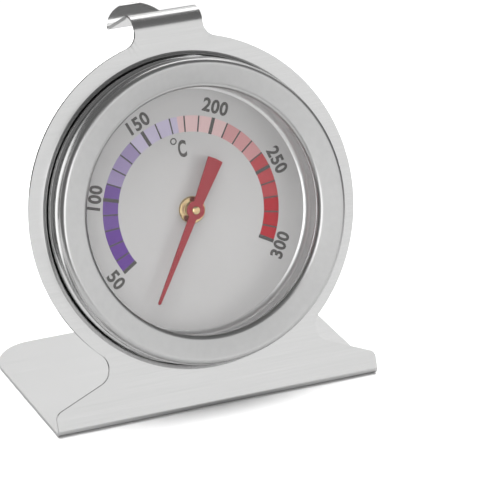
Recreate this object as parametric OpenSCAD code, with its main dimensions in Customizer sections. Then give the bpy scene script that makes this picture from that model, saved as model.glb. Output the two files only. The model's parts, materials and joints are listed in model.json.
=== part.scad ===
// Dial oven thermometer: bent sheet stand with hanging hook, crimped round case,
// glass, printed dial, bimetal coil movement and pointer.
// Frame: millimetres, +Z up, +Y to the rear, origin at the centre of the foot's underside.

/* [Stand] */
// width of the foot along its front bend
foot_w = 60; // [54:0.5:70]
// depth of the foot from the front bend line to its rear edge
foot_d = 36.5; // [32:0.5:46]
// width of the ring plate outside the bezel's skirt
rim_w = 3.45; // [3:0.05:6]
// gap between the ring and the foot's bend, measured along the leaning plate
ring_gap = 4.8; // [3.6:0.2:8]
// backward lean of the ring plate from vertical, degrees
lean = 19.5; // [10:0.5:25]
// sheet thickness of the stand
sheet_t = 0.6; // [0.5:0.1:1]
// outer radius of the foot bend
bend_r = 1.0; // [0.9:0.1:2]
// radius of the rear corners of the foot
foot_corner_r = 8.2; // [4:0.2:12]

/* [Hook] */
// width of the neck and hook strip
neck_w = 12.6; // [10:0.2:16]
// outer radius of the roll at the top of the hook
roll_r = 3.0; // [2.4:0.1:5]
// length of the straight part that slopes down behind the roll
hook_l = 9.0; // [7:0.2:14]
// height of the rising tip, measured along it
tip_l = 2.6; // [1.5:0.1:5]

/* [Case] */
// outer radius of the bezel skirt inside the stand's collar
case_r = 26.55; // [22:0.05:32]
// width of the bezel's front, from its side to the window
lip_w = 5.31; // [4.5:0.01:6.5]
// depth of the dial behind the stand's front face
dial_depth = 1.8; // [1.5:0.1:2.4]
// clearance between the spindle's rear end and the cup
end_gap = 0.2; // [0.1:0.1:2]
// distance that the case sits below the centre of the ring plate
case_drop = 0.3; // [0:0.1:1]

/* [Movement] */
// angle of the needle in the picture of the dial, counter-clockwise from the right, degrees
needle_a = 238.8; // [205:0.5:245]
// gap between the needle's tip and the window's edge
needle_gap = 3.94; // [1:0.02:6]
// length of the counterweight tail from the spindle axis
tail_l = 9.4; // [6:0.1:12]
// radius of the spindle
spindle_r = 0.8; // [0.7:0.05:1.2]
// radial running clearance of the spindle in its bushes
run_gap = 0.05; // [0.02:0.01:0.1]
// spacing of the coil's turns
coil_pitch = 1.4; // [1.2:0.1:1.8]
// thickness of the coil strip
coil_t = 0.4; // [0.2:0.05:0.6]
// width of the coil strip along the spindle
coil_w = 2.8; // [2:0.1:3]

/* [Hidden] */
$fn = 96;
steel = [0.78, 0.78, 0.79];
brass = [0.80, 0.64, 0.32];
copper = [0.66, 0.50, 0.38];
y0 = -foot_d / 2;
hair = 0.005;
lap = 0.04;
ring_r = case_r + rim_w;
ring_v = ring_r + ring_gap;
window_r = case_r - lip_w;
needle_l = window_r - needle_gap;
inner_a = 90 - lean;
bend_v = bend_r / tan(inner_a / 2);
hole_r = case_r + 0.05;
collar_r = 1.0;
dial_w = -dial_depth;
dial_t = 0.5;
cup_t = 0.5;
flange_t = 0.6;
case_v = ring_v - case_drop;
side_v = 4.22;
slope_a = 22.05;
slope = tan(slope_a);
notch_r = 3.0;
foot_r = 1.5;
hw = neck_w / 2;
neck_fr = 2.6;
// centre of the notch fillet: notch_r above the sloping edge and outside the ring
nc_k = side_v + slope * foot_w / 2 + notch_r / cos(slope_a);
nc_a = 1 + slope * slope;
nc_b = 2 * slope * (ring_v - nc_k);
nc_c = pow(ring_v - nc_k, 2) - pow(ring_r + notch_r, 2);
nc_x = (-nc_b + sqrt(nc_b * nc_b - 4 * nc_a * nc_c)) / (2 * nc_a);
nc_v = nc_k - slope * nc_x;
// centre of the neck fillet
nf_x = hw + neck_fr;
nf_v = ring_v + sqrt(pow(ring_r + neck_fr, 2) - nf_x * nf_x);
// the hook's roll starts where the neck's fillets end
hook_v = nf_v;
// centre of the foot's front corner rounding
fc_x = foot_w / 2 - foot_r;
fc_v = side_v + slope * foot_r - foot_r / cos(slope_a);
// the hook's path, in the plane x = 0, on its outer face
roll_a = 101.5;
valley_r = 4.0;
valley_a = 63;
h0 = 90 - lean;
h1 = h0 - roll_a;
h2 = h1 + valley_a;
p0 = [y0 + hook_v * sin(lean), hook_v * cos(lean)];
c1 = p0 + roll_r * [sin(h0), -cos(h0)];
p1 = c1 + roll_r * [-sin(h1), cos(h1)];
p2 = p1 + hook_l * [cos(h1), sin(h1)];
c2 = p2 + valley_r * [-sin(h1), cos(h1)];
p3 = c2 + valley_r * [sin(h2), -cos(h2)];
p4 = p3 + tip_l * [cos(h2), sin(h2)];
// turned parts: radii built out from the spindle
bush_r = spindle_r + run_gap;
bush_or = bush_r + 0.65;
bolt_r = bush_or + 0.05;
rear_or = bush_r + 0.33;
collar_or = spindle_r + 0.7;
pin_r = spindle_r - 0.3;
// the movement's stack, from the dial's rear face to the cup's back
frame_t = 0.7;
f0 = dial_w - dial_t;
crimp_w = f0 - flange_t;
nut_w = f0 - frame_t - 0.3;
bush_end = nut_w - 1.7;
thrust_w = bush_end - 0.3;
coil_top = thrust_w - 0.2;
coil_z = coil_top - coil_w;
leg_w = coil_z - 0.6;
leg_back = leg_w - frame_t;
clip_w = leg_back - 0.65;
spindle_end = clip_w - 0.65;
cup_depth = -spindle_end + end_gap + cup_t;
// the pointer's underside
pointer_w = dial_w + 1.7;
// the coil
coil_r0 = collar_or + 0.05 + coil_t / 2;
coil_r1 = 9.55;
coil_turns = (coil_r1 - coil_r0) / coil_pitch;
web_v = coil_r1 + coil_t / 2;
rivet_x = -1.2;

// dial space: x right, y up the plate, z out of the front face, origin on the case axis
module dial_space() {
  translate([0, y0, 0])
    rotate([90 - lean, 0, 0])
      translate([0, case_v, 0]) children();
}

// stand space: as above, with the origin on the bend line
module plate_space() {
  translate([0, y0, 0])
    rotate([90 - lean, 0, 0]) children();
}

// a ring of revolution from a list of radius, height points
module ring(pts) {
  rotate_extrude() polygon(pts);
}

// a washer
module washer(r0, r1, z0, z1) {
  translate([0, 0, z0])
    difference() {
      cylinder(r = r1, h = z1 - z0);
      translate([0, 0, -1]) cylinder(r = r0, h = z1 - z0 + 2);
    }
}

// part of a bent strip: a shell about an axis along x
// (it runs a little way into the flats that it joins, and is a hair thinner)
module strip_arc(c, ra, rb, a0, a1, w) {
  da = lap / rb * 57.3;
  translate([-w / 2 + hair, c[0], c[1]])
    rotate([90, 0, 90])
      rotate([0, 0, a0 - da])
        rotate_extrude(angle = a1 - a0 + 2 * da)
          translate([ra + hair, 0]) square([rb - ra - 2 * hair, w - 2 * hair]);
}

// part of a bent strip: a flat length from point p at heading h, its face on the left
module strip_flat(p, h, l, w) {
  translate([-w / 2, p[0], p[1]])
    rotate([h, 0, 0])
      translate([0, 0, -sheet_t]) cube([w, l, sheet_t]);
}

module plate_2d_half() {
  polygon([
    [0, bend_v],
    [foot_w / 2, bend_v],
    [foot_w / 2, fc_v],
    [fc_x + foot_r * sin(slope_a), fc_v + foot_r * cos(slope_a)],
    [0, side_v + slope * foot_w / 2]
  ]);
  translate([fc_x, fc_v]) circle(r = foot_r - hair);
  polygon([
    [nc_x - notch_r * sin(slope_a), nc_v - notch_r * cos(slope_a)],
    [nc_x * 0.6, nc_v],
    [nc_x * ring_r / (ring_r + notch_r),
      ring_v + (nc_v - ring_v) * ring_r / (ring_r + notch_r)]
  ]);
  polygon([
    [hw, hook_v],
    [0, hook_v],
    [0, ring_v],
    [nf_x * ring_r / (ring_r + neck_fr),
      ring_v + (nf_v - ring_v) * ring_r / (ring_r + neck_fr)]
  ]);
}

// the concave fillets on one side, a hair oversize so that they cut cleanly
module fillet_2d_half() {
  translate([nc_x, nc_v]) circle(r = notch_r + 2 * hair);
  translate([nf_x, nf_v]) circle(r = neck_fr + 2 * hair);
}

module stand() {
  color(steel) {
    plate_space() translate([0, 0, -sheet_t])
      linear_extrude(height = sheet_t)
        difference() {
          union() {
            translate([0, ring_v]) circle(r = ring_r);
            plate_2d_half();
            mirror([1, 0]) plate_2d_half();
            translate([-hw, ring_v + ring_r - 4])
              square([neck_w, hook_v - ring_v - ring_r + 4]);
          }
          fillet_2d_half();
          mirror([1, 0]) fillet_2d_half();
          translate([0, case_v]) circle(r = hole_r + collar_r);
        }
    // drawn collar round the hole
    dial_space() rotate_extrude()
      union() {
        intersection() {
          translate([hole_r + collar_r, -collar_r])
            difference() {
              circle(r = collar_r);
              circle(r = collar_r - sheet_t);
            }
          translate([hole_r, -collar_r]) square([collar_r, collar_r]);
        }
        translate([hole_r, -2.2]) square([sheet_t, 2.2 - collar_r]);
      }
    // foot bend and foot
    strip_arc([y0 + bend_v, bend_r], bend_r - sheet_t, bend_r, 180 - lean, 270, foot_w);
    translate([-foot_w / 2, y0 + bend_v, 0])
      cube([foot_w, foot_d - bend_v - foot_corner_r, sheet_t]);
    translate([-foot_w / 2 + foot_corner_r, y0 + foot_d - foot_corner_r, 0])
      cube([foot_w - 2 * foot_corner_r, foot_corner_r, sheet_t]);
    for (s = [-1, 1])
      translate([s * (foot_w / 2 - foot_corner_r), y0 + foot_d - foot_corner_r, 0])
        cylinder(r = foot_corner_r, h = sheet_t);
    // hook: roll, downward slope, then valley and rising tip with a round end
    strip_arc(c1, roll_r - sheet_t, roll_r, h1 + 90, h0 + 90, neck_w);
    intersection() {
      union() {
        strip_flat(p1, h1, hook_l, neck_w);
        strip_arc(c2, valley_r, valley_r + sheet_t, h1 - 90, h2 - 90, neck_w);
        strip_flat(p3, h2, tip_l + 2, neck_w);
      }
      union() {
        translate([0, p4[0] - hw, p2[1] - 20]) cylinder(r = hw + 2 * hair, h = 40);
        translate([-hw - 1, p1[0] - 5, p2[1] - 20])
          cube([neck_w + 2, p4[0] - hw - p1[0] + 5, 40]);
      }
    }
  }
}

module case_cup() {
  r_cup = case_r - 3.4;
  color(steel) dial_space() difference() {
    ring([
      [0, -cup_depth],
      [r_cup - 1.2, -cup_depth],
      [r_cup - 0.35, -cup_depth + 0.35],
      [r_cup, -cup_depth + 1.2],
      [r_cup, crimp_w],
      [case_r - 0.5, crimp_w],
      [case_r - 0.5, f0],
      [r_cup - cup_t, f0],
      [r_cup - cup_t, -cup_depth + 1.4],
      [r_cup - cup_t - 0.35, -cup_depth + 0.75],
      [r_cup - 1.4, -cup_depth + cup_t],
      [0, -cup_depth + cup_t]
    ]);
    // vent holes that let the oven's air reach the coil
    for (i = [0 : 7])
      rotate([0, 0, i * 45 + 22.5])
        translate([r_cup - 9.15, 0, -cup_depth - 1]) cylinder(r = 1.5, h = 3);
  }
}

// the bezel's outer line: skirt, step, bulged side and rounded shoulder
bulge_r = 6.2;
bulge_c = [case_r - 0.15 - bulge_r, 3.0];
bezel_out = concat(
  [[case_r - 1.3, crimp_w - 0.45], [case_r - 0.3, crimp_w - 0.45],
    [case_r, crimp_w - 0.15], [case_r, 0.55],
    [case_r - 0.12, 0.85], [case_r - 0.4, 1.05]],
  [for (i = [0 : 10]) bulge_c + bulge_r * [cos(-16 + 3.1 * i), sin(-16 + 3.1 * i)]],
  [for (i = [1 : 8]) [case_r - 1.3, 4.55] + 0.95 * [cos(i * 13.0), sin(i * 13.0)]],
  [[window_r + 0.8, 4.62], [window_r + 0.35, 4.45], [window_r + 0.08, 4.2],
    [window_r, 3.95], [window_r + 0.1, 3.8], [window_r + 0.3, 3.75]]
);
bezel_in = [
  [window_r + 0.8, 3.75],
  [window_r + 0.95, 4.05],
  [case_r - 1.5, 5.02],
  [case_r - 1.05, 4.9],
  [case_r - 0.82, 4.5],
  [case_r - 0.6, 3.6],
  [case_r - 0.6, 2.2],
  [case_r - 0.8, 1.3],
  [case_r - 0.45, 0.7],
  [case_r - 0.45, crimp_w],
  [case_r - 1.3, crimp_w]
];

module bezel() {
  color(steel) dial_space() ring(concat(bezel_out, bezel_in));
}

module glass_lens() {
  color([0.85, 0.9, 0.9, 0.35]) dial_space() ring([
    [0, 1.95],
    [case_r - 1.15, 1.95],
    [case_r - 1.0, 2.1],
    [case_r - 1.0, 3.45],
    [case_r - 1.15, 3.6],
    [0, 3.6]
  ]);
}

// soft seal between the glass and the bezel's hemmed lip
module gasket_ring() {
  color([0.25, 0.25, 0.25]) dial_space()
    washer(window_r + 0.15, case_r - 1.6, 3.6, 3.75);
}

module spacer_ring() {
  r = window_r + 0.36;
  color(steel) dial_space() ring([
    [r, dial_w],
    [case_r - 0.7, dial_w],
    [case_r - 0.7, dial_w + 0.4],
    [r + 0.4, dial_w + 0.4],
    [r + 0.4, 1.55],
    [case_r - 1.1, 1.55],
    [case_r - 1.1, 1.95],
    [r, 1.95]
  ]);
}

module dial_plate() {
  color([0.82, 0.82, 0.82]) dial_space()
    washer(bolt_r, case_r - 0.6, f0, dial_w);
}

module dial_bushing() {
  color(brass) dial_space() ring([
    [bush_r, bush_end],
    [bush_or, bush_end],
    [bush_or, dial_w],
    [bush_or + 0.85, dial_w],
    [bush_or + 0.85, dial_w + 0.35],
    [bush_or + 0.65, dial_w + 0.55],
    [bush_or - 0.05, dial_w + 0.55],
    [bush_or - 0.15, dial_w + 0.85],
    [bush_r, dial_w + 0.85]
  ]);
}

// one stamped strip: front leg under the dial, web, rear leg
module movement_frame() {
  color(steel) dial_space() difference() {
    union() {
      translate([-2.5, 0, f0 - frame_t]) cube([5, web_v + frame_t, frame_t]);
      translate([0, 0, f0 - frame_t]) cylinder(r = bush_or + 2.7, h = frame_t);
      translate([-2.5, web_v, leg_back]) cube([5, frame_t, f0 - leg_back]);
      translate([-2.5, 0, leg_back]) cube([5, web_v + frame_t, frame_t]);
      translate([0, 0, leg_back]) cylinder(r = 2.5, h = frame_t);
    }
    translate([0, 0, f0 - 2]) cylinder(r = bolt_r, h = 3);
    translate([0, 0, leg_back - 1]) cylinder(r = rear_or + 0.02, h = 3);
    translate([rivet_x, web_v - 1, coil_z + coil_w / 2])
      rotate([-90, 0, 0]) cylinder(r = 0.45, h = 3);
  }
}

module lock_washer() {
  z = nut_w;
  color(steel) dial_space() difference() {
    washer(bolt_r, bush_or + 1.2, z, z + 0.3);
    for (i = [0 : 7])
      rotate([0, 0, i * 45]) translate([bush_or + 1.05, -0.2, z - 1]) cube([1, 0.4, 2]);
  }
}

module bushing_nut() {
  color(brass) dial_space() translate([0, 0, nut_w - 1.3])
    difference() {
      cylinder(r = bush_or + 1.3, h = 1.3, $fn = 6);
      translate([0, 0, -1]) cylinder(r = bush_or + 0.02, h = 4);
    }
}

module rear_bush() {
  color(brass) dial_space() ring([
    [bush_r, leg_back - 0.35],
    [bush_r + 1.05, leg_back - 0.35],
    [bush_r + 1.05, leg_back],
    [rear_or, leg_back],
    [rear_or, leg_w + 0.15],
    [bush_r, leg_w + 0.15]
  ]);
}

// Archimedean spiral, its outer end turned flat against the frame's web
function coil_pt(i, n, s) =
  let (a = 90 - 360 * coil_turns * (1 - i / n))
  let (r = coil_r0 + (coil_r1 - coil_r0) * i / n + s * coil_t / 2)
  [r * cos(a), r * sin(a)];
coil_n = 220;
coil_a0 = 90 - 360 * coil_turns;

module bimetal_coil() {
  color(copper) dial_space() difference() {
    union() {
      translate([0, 0, coil_z]) linear_extrude(height = coil_w)
        polygon(concat(
          [for (i = [0 : coil_n]) coil_pt(i, coil_n, 1)],
          [[-2.3, coil_r1 + coil_t / 2], [-2.3, coil_r1 - coil_t / 2]],
          [for (i = [coil_n : -1 : 0]) coil_pt(i, coil_n, -1)]
        ));
      // inner end, bent in to the collar's slot
      translate([0, 0, coil_z]) rotate([0, 0, coil_a0])
        translate([spindle_r + 0.3, -0.05, 0])
          cube([coil_r0 - spindle_r - 0.2, coil_t * 0.8, coil_w]);
    }
    translate([rivet_x, web_v - 1, coil_z + coil_w / 2])
      rotate([-90, 0, 0]) cylinder(r = 0.45, h = 3);
  }
}

// rivet that holds the coil's outer end on the web
module anchor_rivet() {
  color(steel) dial_space()
    translate([rivet_x, web_v - coil_t, coil_z + coil_w / 2])
      rotate([-90, 0, 0]) {
        translate([0, 0, -0.3]) cylinder(r = 0.75, h = 0.3);
        cylinder(r = 0.42, h = coil_t + frame_t);
        translate([0, 0, coil_t + frame_t]) cylinder(r = 0.75, h = 0.3);
      }
}

module coil_collar() {
  color(brass) dial_space() difference() {
    washer(spindle_r, collar_or, coil_z - 0.1, thrust_w - 0.05);
    rotate([0, 0, coil_a0])
      translate([spindle_r + 0.25, -0.08, coil_z - 1])
        cube([1, coil_t * 0.8 + 0.06, coil_w + 3]);
  }
}

module thrust_washer() {
  color(steel) dial_space() washer(bush_r, bush_r + 0.75, thrust_w, thrust_w + 0.2);
}

module spindle() {
  color(brass) dial_space() ring([
    [0, spindle_end],
    [spindle_r - 0.1, spindle_end],
    [spindle_r, spindle_end + 0.1],
    [spindle_r, clip_w - 0.35],
    [spindle_r - 0.25, clip_w - 0.35],
    [spindle_r - 0.25, clip_w + 0.05],
    [spindle_r, clip_w + 0.05],
    [spindle_r, pointer_w],
    [pin_r, pointer_w],
    [pin_r, pointer_w + 0.32],
    [pin_r + 0.25, pointer_w + 0.32],
    [pin_r + 0.22, pointer_w + 0.5],
    [pin_r, pointer_w + 0.6],
    [0, pointer_w + 0.6]
  ]);
}

module retaining_clip() {
  color(steel) dial_space() difference() {
    washer(spindle_r - 0.2, spindle_r + 0.9, clip_w - 0.3, clip_w);
    translate([-pin_r, -3, clip_w - 1]) cube([2 * pin_r, 3, 2]);
  }
}

module pointer_hub() {
  color(brass) dial_space() ring([
    [spindle_r, pointer_w - 0.65],
    [spindle_r + 0.25, pointer_w - 0.65],
    [spindle_r + 0.4, pointer_w - 0.5],
    [spindle_r + 0.4, pointer_w],
    [spindle_r, pointer_w]
  ]);
}

module pointer() {
  color([0.62, 0.2, 0.22]) dial_space() rotate([0, 0, needle_a])
    translate([0, 0, pointer_w])
      difference() {
        union() {
          cylinder(r = spindle_r + 0.8, h = 0.3);
          linear_extrude(height = 0.3) polygon([
            [-tail_l, -1.42],
            [0, -0.76],
            [needle_l - 0.2, -0.26],
            [needle_l, -0.1],
            [needle_l, 0.1],
            [needle_l - 0.2, 0.26],
            [0, 0.76],
            [-tail_l, 1.42],
            [-tail_l - 0.12, 0]
          ]);
        }
        translate([0, 0, -1]) cylinder(r = pin_r + 0.02, h = 3);
      }
}

stand();
case_cup();
bezel();
glass_lens();
spacer_ring();
dial_plate();
dial_bushing();
movement_frame();
lock_washer();
bushing_nut();
rear_bush();
bimetal_coil();
anchor_rivet();
coil_collar();
thrust_washer();
spindle();
retaining_clip();
pointer_hub();
pointer();
gasket_ring();
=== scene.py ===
# Dial oven thermometer: the looks of its bent stand, crimped case, printed dial and pointer.
# Lines are drawn in millimetres, in the dial's or the plate's own space, and are put in place in metres.

import json
import math

import bmesh
import bpy
from mathutils import Matrix, Vector


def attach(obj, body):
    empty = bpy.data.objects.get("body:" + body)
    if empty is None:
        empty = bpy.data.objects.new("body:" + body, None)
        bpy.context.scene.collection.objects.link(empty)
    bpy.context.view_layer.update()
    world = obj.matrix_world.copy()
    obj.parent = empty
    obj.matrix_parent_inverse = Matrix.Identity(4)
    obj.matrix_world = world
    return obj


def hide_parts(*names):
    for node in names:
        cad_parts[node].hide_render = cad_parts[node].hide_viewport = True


bl_info = {
    "name": "Dial oven thermometer",
    "version": (1, 0, 0),
    "blender": (4, 5, 0),
    "location": "View3D > Sidebar > Thermometer",
    "description": "Builds the stand, case, dial and pointer of an oven thermometer",
    "category": "Object",
}

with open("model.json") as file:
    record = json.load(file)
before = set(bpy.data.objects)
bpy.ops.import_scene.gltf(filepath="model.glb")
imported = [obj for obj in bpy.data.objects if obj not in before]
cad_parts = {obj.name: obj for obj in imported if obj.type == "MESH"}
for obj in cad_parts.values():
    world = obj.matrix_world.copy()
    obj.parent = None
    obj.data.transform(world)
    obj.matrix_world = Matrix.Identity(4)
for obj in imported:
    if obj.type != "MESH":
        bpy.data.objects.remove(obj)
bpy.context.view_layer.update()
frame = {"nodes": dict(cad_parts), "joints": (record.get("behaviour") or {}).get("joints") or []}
TURN = frame["joints"][0]
MM = 0.001
# the plate's lean, and the floor's rearward direction in the plate's space
LEAN = math.asin(-TURN["axis"][2])
REARWARD = Vector((0, math.sin(LEAN), -math.cos(LEAN)))
# how far in front of the frame's origin the plate meets the floor, in millimetres
BACK_EDGE = 18.25
# points nearer than this count as one, in millimetres
NEAR = 1e-4
# shares of the tip's length at which it is cut, closer together towards the round end
TIP_SHARES = (0.12, 0.24, 0.36, 0.47, 0.57, 0.66, 0.74, 0.81, 0.87, 0.92, 0.96, 0.985, 0.997, 1.0)
# in metres: the floor's level, just under the foot, and the height that the lights face
FLOOR_LEVEL = -0.00005
MIDDLE_HEIGHT = 0.03


# --- places ---------------------------------------------------------------


def dial_space():
    """The dial's own space: x to the right, y up the plate, z out of the front."""
    out = -Vector(TURN["axis"]).normalized()
    right = Vector((1, 0, 0))
    place = Matrix((right, out.cross(right), out)).transposed().to_4x4()
    place.translation = Vector(TURN["pos_m"])
    return place @ Matrix.Scale(MM, 4)


def plate_space():
    """The same directions, from the line where the plate meets the floor."""
    place = dial_space()
    place.translation = Vector((0, -BACK_EDGE * MM, 0))
    return place


# --- shaping helpers --------------------------------------------------------


class Line:
    """A line drawn from point to point, with straight runs and arcs, in x and y."""

    def __init__(self, bm, x, y):
        self.bm = bm
        self.start = self.end = bm.verts.new((x, y, 0))

    def to(self, *points):
        """Runs straight through points."""
        for x, y in points:
            self.end = bmesh.ops.extrude_vert_indiv(self.bm, verts=[self.end])["verts"][0]
            self.end.co = (x, y, 0)
        return self

    def turn(self, x, y, degrees, steps):
        """Turns on about a centre."""
        last = bmesh.ops.spin(
            self.bm,
            geom=[self.end],
            cent=(x, y, 0),
            axis=(0, 0, 1),
            angle=math.radians(degrees),
            steps=steps,
        )["geom_last"]
        self.end = [g for g in last if isinstance(g, bmesh.types.BMVert)][0]
        return self

    def arc(self, x, y, radius, start, degrees, steps):
        """Runs straight to where an arc starts, and turns along it."""
        start = math.radians(start)
        self.to((x + radius * math.cos(start), y + radius * math.sin(start)))
        return self.turn(x, y, degrees, steps)

    def close(self):
        bmesh.ops.contextual_create(self.bm, geom=[self.end, self.start])
        return self


def straight(first, *points):
    """A line of straight runs only."""
    return lambda bm: Line(bm, *first).to(*points)


def turned(draw, steps, close=True):
    """A ring turned about the dial's axis. draw makes its line, x as radius and y as height."""
    bm = bmesh.new()
    line = draw(bm)
    if close:
        line.close()
    bmesh.ops.rotate(bm, matrix=Matrix.Rotation(math.pi / 2, 3, "X"), verts=bm.verts)
    bmesh.ops.spin(
        bm,
        geom=bm.verts[:] + bm.edges[:],
        cent=(0, 0, 0),
        axis=(0, 0, 1),
        angle=2 * math.pi,
        steps=steps,
        use_merge=True,
    )
    bmesh.ops.remove_doubles(bm, verts=bm.verts, dist=NEAR)
    bmesh.ops.recalc_face_normals(bm, faces=bm.faces)
    return bm


def verts_of(result):
    return [g for g in result["geom"] if isinstance(g, bmesh.types.BMVert)]


def edges_between(verts, edges):
    inside = set(verts)
    return [e for e in edges if e.verts[0] in inside and e.verts[1] in inside]


def flat_edges(bm, y):
    """The row of edges at a height along the plate, in its front face."""
    return [e for e in bm.edges if all(abs(v.co.y - y) < NEAR and abs(v.co.z) < NEAR for v in e.verts)]


def circle(bm, radius, segments, place=(0, 0, 0), cap=False):
    """A flat ring of points and its edges."""
    verts = bmesh.ops.create_circle(
        bm, cap_ends=cap, segments=segments, radius=radius, matrix=Matrix.Translation(place)
    )["verts"]
    return verts, edges_between(verts, {e for v in verts for e in v.link_edges})


def fill(bm):
    """Fills an outline and leaves its holes open."""
    bmesh.ops.triangle_fill(bm, use_beauty=True, use_dissolve=False, edges=bm.edges[:])


def push_edges(bm, edges, move=(0, 0, 0), grow=1.0, centre=(0, 0, 0)):
    """Draws a row of edges on, moved and scaled about a centre, and returns the new row."""
    verts = verts_of(bmesh.ops.extrude_edge_only(bm, edges=edges))
    bmesh.ops.translate(bm, vec=move, verts=verts)
    if grow != 1.0:
        space = Matrix.Translation(-Vector(centre))
        bmesh.ops.scale(bm, vec=(grow, grow, 1), space=space, verts=verts)
    return edges_between(verts, bm.edges)


def quarter(steps):
    """The angles of a quarter turn, without the first."""
    return [math.pi / 2 * i / steps for i in range(1, steps + 1)]


def draw_through(bm, row, rings, centre=(0, 0, 0)):
    """Draws a round row of edges on through rings, each a radius and a height. The first is the row's own."""
    for (radius, height), (new_radius, new_height) in zip(rings, rings[1:]):
        row = push_edges(bm, row, (0, 0, new_height - height), new_radius / radius, centre)
    return row


def spin_edges(bm, edges, centre, degrees, steps):
    """Bends a row of edges about a line along x and returns the last row."""
    last = bmesh.ops.spin(
        bm,
        geom=edges + list({v for e in edges for v in e.verts}),
        cent=centre,
        axis=(1, 0, 0),
        angle=math.radians(degrees),
        steps=steps,
    )["geom_last"]
    return [g for g in last if isinstance(g, bmesh.types.BMEdge)]


def about_z(bm, verts, radians):
    bmesh.ops.rotate(bm, verts=verts, cent=(0, 0, 0), matrix=Matrix.Rotation(radians, 3, "Z"))


def raise_faces(bm, faces, height):
    """Gives faces a height, up or down."""
    result = bmesh.ops.extrude_face_region(bm, geom=faces)
    bmesh.ops.translate(bm, vec=(0, 0, height), verts=verts_of(result))


def turn_to(bm, face, z):
    """Makes all faces agree with one that looks up (z 1) or down (z -1)."""
    bmesh.ops.recalc_face_normals(bm, faces=bm.faces)
    if face.normal.z * z < 0:
        bmesh.ops.reverse_faces(bm, faces=bm.faces)


# --- pieces -----------------------------------------------------------------


def linked(name, data):
    """A new object in the scene."""
    made = bpy.data.objects.new(name, data)
    bpy.context.scene.collection.objects.link(made)
    return made


def mesh_of(bm, name, finishes):
    mesh = bpy.data.meshes.new(name)
    bm.to_mesh(mesh)
    bm.free()
    for material in finishes:
        mesh.materials.append(material)
    return mesh


def shown(bm, name, looks, slot, stands_for=(), body="case", sharp=35.0, place=None):
    """Turns a drawing into a finished piece that rides on a body and stands for its CAD nodes."""
    bmesh.ops.transform(bm, matrix=place or dial_space(), verts=bm.verts)
    mesh = mesh_of(bm, name, [finish(look) for look in looks])
    mesh.polygons.foreach_set("use_smooth", [True] * len(mesh.polygons))
    mesh.set_sharp_from_angle(angle=math.radians(sharp))
    piece = linked(name, mesh)
    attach(piece, body)
    if stands_for:
        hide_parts(*stands_for)
    return piece


def soften(piece, width, segments=2, angle=40.0):
    """Rounds a piece's edges and keeps its flats evenly shaded."""
    rounding = piece.modifiers.new("Edge rounding", "BEVEL")
    rounding.width = width * MM
    rounding.segments = segments
    rounding.limit_method = "ANGLE"
    rounding.angle_limit = math.radians(angle)
    rounding.profile = 0.5
    piece.modifiers.new("Even flats", "WEIGHTED_NORMAL").keep_sharp = True


def thicken(piece, sheet):
    """Gives a sheet its thickness, behind the face that was drawn."""
    wall = piece.modifiers.new("Sheet", "SOLIDIFY")
    wall.thickness = sheet * MM
    wall.offset = -1
    wall.use_even_offset = True
    wall.use_rim = True


def turned_piece(draw, name, look, slot, node, steps=160, close=True, rounding=0.03, **more):
    """A piece turned about the dial's axis, which stands for one CAD node."""
    soften(shown(turned(draw, steps, close), name, [look], slot, [node], **more), rounding)


# --- shader groups ----------------------------------------------------------

# the span that most of a noise's values lie in
NOISE_SPAN = (0.3, 0.7)
# how deep fine lines and grain look, in metres
RELIEF_DEPTH = 0.00001
# how far noise is drawn out round the axis, per radian
ROUND_STRETCH = 1.7


def give(tree, node, values):
    """Sets a node's inputs, each to a constant or to another node's output."""
    for label, value in values.items():
        if isinstance(value, bpy.types.NodeSocket):
            tree.links.new(value, node.inputs[label])
        else:
            node.inputs[label].default_value = value
    return node


def add_node(tree, kind, values=(), **settings):
    node = tree.nodes.new("ShaderNode" + kind)
    for name, value in settings.items():
        setattr(node, name, value)
    return give(tree, node, dict(values))


def math_node(tree, operation, *values):
    return add_node(tree, "Math", enumerate(values), operation=operation).outputs[0]


def total(tree, value, *others):
    for other in others:
        value = math_node(tree, "ADD", value, other)
    return value


def spread(tree, value, low, high, to_low, to_high):
    """Carries a value from one span to another."""
    labels = ("Value", "From Min", "From Max", "To Min", "To Max")
    values = zip(labels, (value, low, high, to_low, to_high))
    return add_node(tree, "MapRange", values).outputs["Result"]


def noise(tree, vector, scale, detail=3.0):
    return add_node(tree, "TexNoise", {"Vector": vector, "Scale": scale, "Detail": detail}).outputs["Fac"]


def stretched(tree, vector, scale):
    return add_node(tree, "Mapping", {"Vector": vector, "Scale": scale}).outputs["Vector"]


def wander(tree, value, amount):
    """A noise's way off its middle, times an amount."""
    return math_node(tree, "MULTIPLY", math_node(tree, "SUBTRACT", value, 0.5), amount)


def blend(tree, value, share, other):
    """A share of one value and the rest of another."""
    first = math_node(tree, "MULTIPLY", value, share)
    return total(tree, first, math_node(tree, "MULTIPLY", other, 1 - share))


def toned(tree, tint, value, darkest):
    """A colour that falls to a share of itself where a value is low."""
    shade = spread(tree, value, *NOISE_SPAN, darkest, 1.0)
    grey = add_node(tree, "CombineColor", {i: shade for i in range(3)})
    values = {"Factor": 1.0, "A": tint, "B": grey.outputs[0]}
    return add_node(tree, "Mix", values, data_type="RGBA", blend_type="MULTIPLY").outputs["Result"]


def by_ray(tree, kind, plain, special, output):
    """Shows one shader to rays of a kind, and a plain one to all others."""
    ray = add_node(tree, "LightPath").outputs[kind]
    mix = add_node(tree, "MixShader", {0: ray, 1: plain.outputs[0], 2: special.outputs[0]})
    give(tree, output, {"Surface": mix.outputs[0]})


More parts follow.
